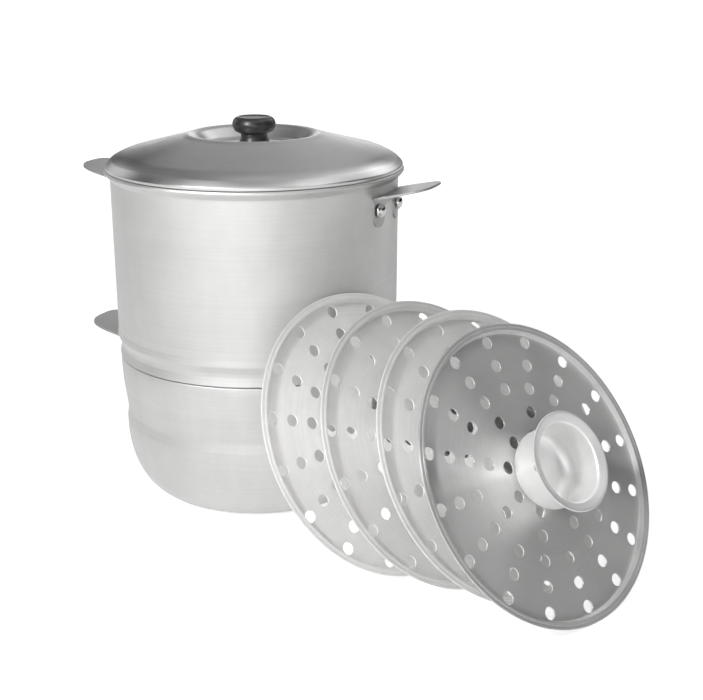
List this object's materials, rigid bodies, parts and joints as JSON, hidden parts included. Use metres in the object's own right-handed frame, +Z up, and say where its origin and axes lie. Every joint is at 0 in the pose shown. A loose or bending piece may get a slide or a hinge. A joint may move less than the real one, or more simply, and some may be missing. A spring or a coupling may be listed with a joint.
{
  "type": "tiered steamer pot",
  "caption": "Aluminium steamer pot: water pot, open steamer body, cone lid with a moulded knob and riveted handles, with perforated trays leaning beside it.",
  "frame": {"origin": "centre of the water pot's base, on the surface it stands on", "axes": "+Z up along the pot's axis; +X along the handles, towards the handle behind the leaning trays; +Y away from the side the trays are set out on"},
  "size_m": [0.6022, 0.4143, 0.3726],
  "materials": {
    "satin_aluminium": "satin polished",
    "rivet_aluminium": "bright",
    "lid_aluminium": "spun satin",
    "tray_aluminium": "turned bright",
    "cup_aluminium": "bright",
    "knob_bakelite": "gloss",
    "fixing_steel": "plated"
  },
  "bodies": {
    "water_pot": {"lower_pot": "satin_aluminium", "lower_handle_right": "satin_aluminium", "lower_handle_left": "satin_aluminium", "lower_rivet_right_1": "rivet_aluminium", "lower_rivet_right_2": "rivet_aluminium", "lower_rivet_left_1": "rivet_aluminium", "lower_rivet_left_2": "rivet_aluminium"},
    "steamer": {"steamer_body": "satin_aluminium", "upper_handle_right": "satin_aluminium", "upper_handle_left": "satin_aluminium", "upper_rivet_right_1": "rivet_aluminium", "upper_rivet_right_2": "rivet_aluminium", "upper_rivet_left_1": "rivet_aluminium", "upper_rivet_left_2": "rivet_aluminium"},
    "lid": {"lid": "lid_aluminium", "lid_knob": "knob_bakelite", "knob_washer": "fixing_steel", "knob_screw": "fixing_steel"},
    "tray_1": {"tray_plate_1": "tray_aluminium", "tray_cup_1": "cup_aluminium"},
    "tray_2": {"tray_plate_2": "tray_aluminium", "tray_cup_2": "cup_aluminium"},
    "tray_3": {"tray_plate_3": "tray_aluminium", "tray_cup_3": "cup_aluminium"},
    "tray_4": {"tray_plate_4": "tray_aluminium", "tray_cup_4": "cup_aluminium"}
  },
  "joints": [
    {"name": "steamer_lift", "type": "slide", "parent": "water_pot", "child": "steamer", "axis": [0, 0, 1], "range_m": [0, 0.3]},
    {"name": "lid_lift", "type": "slide", "parent": "steamer", "child": "lid", "axis": [0, 0, 1], "range_m": [0, 0.25]},
    {"name": "tray_1_lift", "type": "slide", "parent": "water_pot", "child": "tray_1", "axis": [0.792, -0.346, 0.503], "range_m": [0, 0.2]},
    {"name": "tray_2_lift", "type": "slide", "parent": "tray_1", "child": "tray_2", "axis": [0.7909, -0.3374, 0.5105], "range_m": [0, 0.2]},
    {"name": "tray_3_lift", "type": "slide", "parent": "tray_2", "child": "tray_3", "axis": [0.7838, -0.3424, 0.518], "range_m": [0, 0.2]},
    {"name": "tray_4_lift", "type": "slide", "parent": "tray_3", "child": "tray_4", "axis": [0.7781, -0.3464, 0.524], "range_m": [0, 0.2]}
  ]
}
